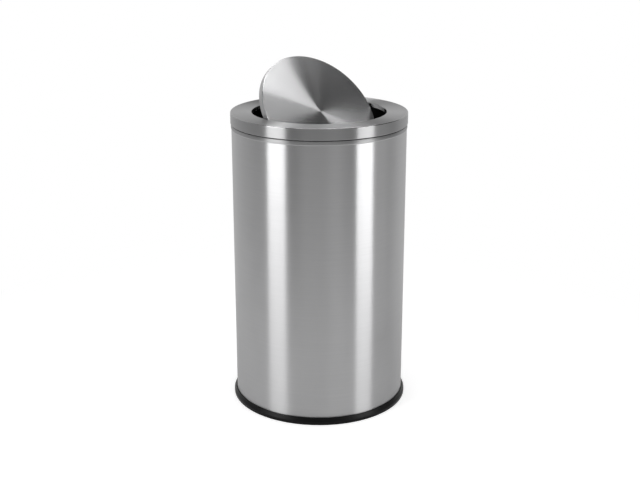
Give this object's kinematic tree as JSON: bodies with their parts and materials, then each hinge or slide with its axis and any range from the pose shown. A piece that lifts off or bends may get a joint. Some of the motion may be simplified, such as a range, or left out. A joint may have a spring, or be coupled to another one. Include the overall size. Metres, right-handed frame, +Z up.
{
  "type": "swing-top trash can",
  "caption": "Round brushed-steel waste bin on a black foot ring, with a lift-off ring lid and a weighted disc flap that tips both ways, over a black liner.",
  "frame": {"origin": "middle of the floor under the bin", "axes": "+Z up; the flap's rod lies along X; -Y is the front, where the flap's edge is down at rest"},
  "size_m": [0.389, 0.389, 0.7518],
  "materials": {
    "stainless_body": "brushed round the body",
    "stainless_lid": "brushed in circles",
    "stainless_flap": "spun in circles",
    "plain_steel": "plain rolled sheet",
    "zinc_steel": "zinc plated",
    "weight_iron": "black paint",
    "foot_rubber": "matt black",
    "seal_rubber": "soft black",
    "liner_plastic": "matt black",
    "bush_nylon": "black nylon"
  },
  "bodies": {
    "bin": {"body_shell": "stainless_body", "base_pan": "plain_steel", "base_trim": "foot_rubber", "liner_bucket": "liner_plastic"},
    "lid": {"lid_ring": "stainless_lid", "lid_collar": "plain_steel", "lid_seal": "seal_rubber", "pivot_bush_left": "bush_nylon", "pivot_bush_right": "bush_nylon"},
    "flap": {"flap_disc": "stainless_flap", "flap_axle": "zinc_steel", "axle_cap": "zinc_steel", "axle_washers": "zinc_steel", "axle_saddle_left": "plain_steel", "axle_saddle_right": "plain_steel", "axle_pins": "zinc_steel", "weight_hanger_left": "plain_steel", "weight_hanger_right": "plain_steel", "counterweight": "weight_iron", "weight_washers": "zinc_steel", "weight_nuts": "zinc_steel"}
  },
  "joints": [
    {"name": "lid_lift", "type": "slide", "parent": "bin", "child": "lid", "axis": [0, 0, 1], "range_m": [0, 0.25]},
    {"name": "flap_swing", "type": "hinge", "parent": "lid", "child": "flap", "pos_m": [0, 0, 0.6406], "axis": [1, 0, 0], "range_deg": [-143.7, 44.3]}
  ]
}
